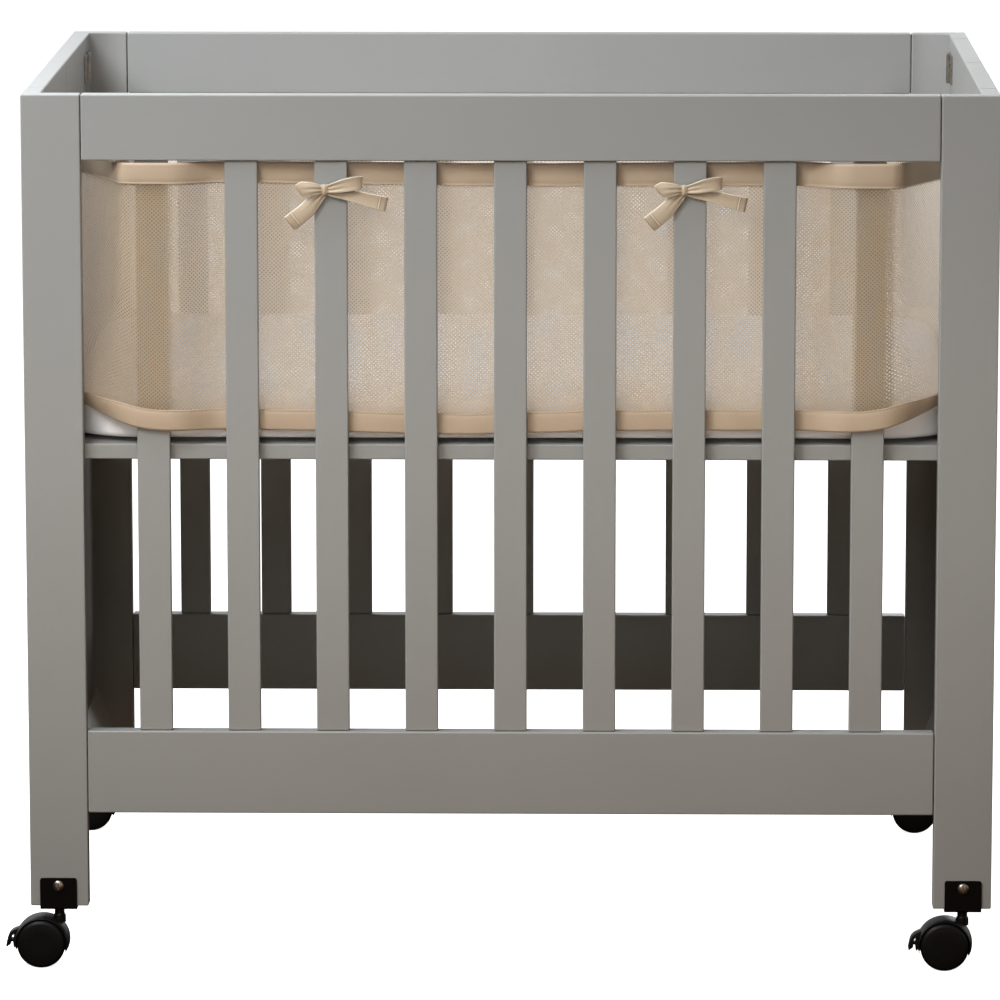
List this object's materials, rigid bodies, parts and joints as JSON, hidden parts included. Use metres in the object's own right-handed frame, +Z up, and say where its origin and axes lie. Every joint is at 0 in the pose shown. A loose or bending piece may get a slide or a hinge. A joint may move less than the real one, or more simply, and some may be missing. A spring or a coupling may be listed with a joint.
{
  "type": "crib bumper on a mini crib",
  "caption": "Breathable mesh crib bumper with satin bindings and ribbon ties, fitted round the inside of a plain slatted mini crib on casters.",
  "frame": {"origin": "the middle of the bounding box, on the floor; the crib itself stands 13.15 mm to the +X side because all the casters trail to -X", "axes": "+X along the front to the viewer's right, +Y from the front to the back, +Z up"},
  "size_m": [1.0162, 0.672, 0.905],
  "materials": {
    "painted_wood": "warm grey satin paint on wood",
    "sheet_cotton": "white woven cotton sheet, matt",
    "mesh_knit": "beige warp-knitted spacer mesh with small holes, matt",
    "satin_binding": "tan satin-weave binding, soft sheen",
    "tie_ribbon": "tan ribbon, soft sheen",
    "black_plate": "black satin paint on steel",
    "black_nylon": "black moulded nylon, soft sheen",
    "nickel": "nickel-plated steel, worn warm"
  },
  "bodies": {
    "root": {"post_front_left": "painted_wood", "post_front_right": "painted_wood", "rail_front_top": "painted_wood", "rail_front_bottom": "painted_wood", "slat_front_1": "painted_wood", "slat_front_2": "painted_wood", "slat_front_3": "painted_wood", "slat_front_4": "painted_wood", "slat_front_5": "painted_wood", "slat_front_6": "painted_wood", "slat_front_7": "painted_wood", "slat_front_8": "painted_wood", "slat_front_9": "painted_wood", "post_back_left": "painted_wood", "post_back_right": "painted_wood", "rail_back_top": "painted_wood", "rail_back_bottom": "painted_wood", "slat_back_1": "painted_wood", "slat_back_2": "painted_wood", "slat_back_3": "painted_wood", "slat_back_4": "painted_wood", "slat_back_5": "painted_wood", "slat_back_6": "painted_wood", "slat_back_7": "painted_wood", "slat_back_8": "painted_wood", "slat_back_9": "painted_wood", "end_left_front_leaf": "painted_wood", "end_left_back_leaf": "painted_wood", "end_right_front_leaf": "painted_wood", "end_right_back_leaf": "painted_wood", "hinge_front_left": "nickel", "hinge_front_right": "nickel", "hinge_back_left": "nickel", "hinge_back_right": "nickel", "mattress_support": "painted_wood", "mattress": "sheet_cotton", "bumper_mesh": "mesh_knit", "binding_top": "satin_binding", "binding_bottom": "satin_binding", "tie_strap_left": "tie_ribbon", "tie_bow_left": "tie_ribbon", "tie_strap_right": "tie_ribbon", "tie_bow_right": "tie_ribbon", "caster_bracket_front_left": "black_plate", "caster_bracket_front_right": "black_plate", "caster_bracket_back_left": "black_plate", "caster_bracket_back_right": "black_plate", "caster_screw_front_left": "nickel", "caster_screw_front_right": "nickel", "caster_screw_back_left": "nickel", "caster_screw_back_right": "nickel"},
    "swivel_front_left": {"caster_hood_front_left": "black_nylon"},
    "wheels_front_left": {"caster_wheels_front_left": "black_nylon"},
    "swivel_front_right": {"caster_hood_front_right": "black_nylon"},
    "wheels_front_right": {"caster_wheels_front_right": "black_nylon"},
    "swivel_back_left": {"caster_hood_back_left": "black_nylon"},
    "wheels_back_left": {"caster_wheels_back_left": "black_nylon"},
    "swivel_back_right": {"caster_hood_back_right": "black_nylon"},
    "wheels_back_right": {"caster_wheels_back_right": "black_nylon"}
  },
  "joints": [
    {"name": "caster_swivel_front_left", "type": "hinge", "parent": "root", "child": "swivel_front_left", "pos_m": [-0.45285, -0.318, 0.0535], "axis": [0, 0, 1], "continuous": true},
    {"name": "wheel_roll_front_left", "type": "hinge", "parent": "swivel_front_left", "child": "wheels_front_left", "pos_m": [-0.47135, -0.318, 0.025], "axis": [0, 1, 0], "continuous": true},
    {"name": "caster_swivel_front_right", "type": "hinge", "parent": "root", "child": "swivel_front_right", "pos_m": [0.47915, -0.318, 0.0535], "axis": [0, 0, 1], "continuous": true},
    {"name": "wheel_roll_front_right", "type": "hinge", "parent": "swivel_front_right", "child": "wheels_front_right", "pos_m": [0.46065, -0.318, 0.025], "axis": [0, 1, 0], "continuous": true},
    {"name": "caster_swivel_back_left", "type": "hinge", "parent": "root", "child": "swivel_back_left", "pos_m": [-0.45285, 0.318, 0.0535], "axis": [0, 0, 1], "continuous": true},
    {"name": "wheel_roll_back_left", "type": "hinge", "parent": "swivel_back_left", "child": "wheels_back_left", "pos_m": [-0.47135, 0.318, 0.025], "axis": [0, 1, 0], "continuous": true},
    {"name": "caster_swivel_back_right", "type": "hinge", "parent": "root", "child": "swivel_back_right", "pos_m": [0.47915, 0.318, 0.0535], "axis": [0, 0, 1], "continuous": true},
    {"name": "wheel_roll_back_right", "type": "hinge", "parent": "swivel_back_right", "child": "wheels_back_right", "pos_m": [0.46065, 0.318, 0.025], "axis": [0, 1, 0], "continuous": true}
  ]
}
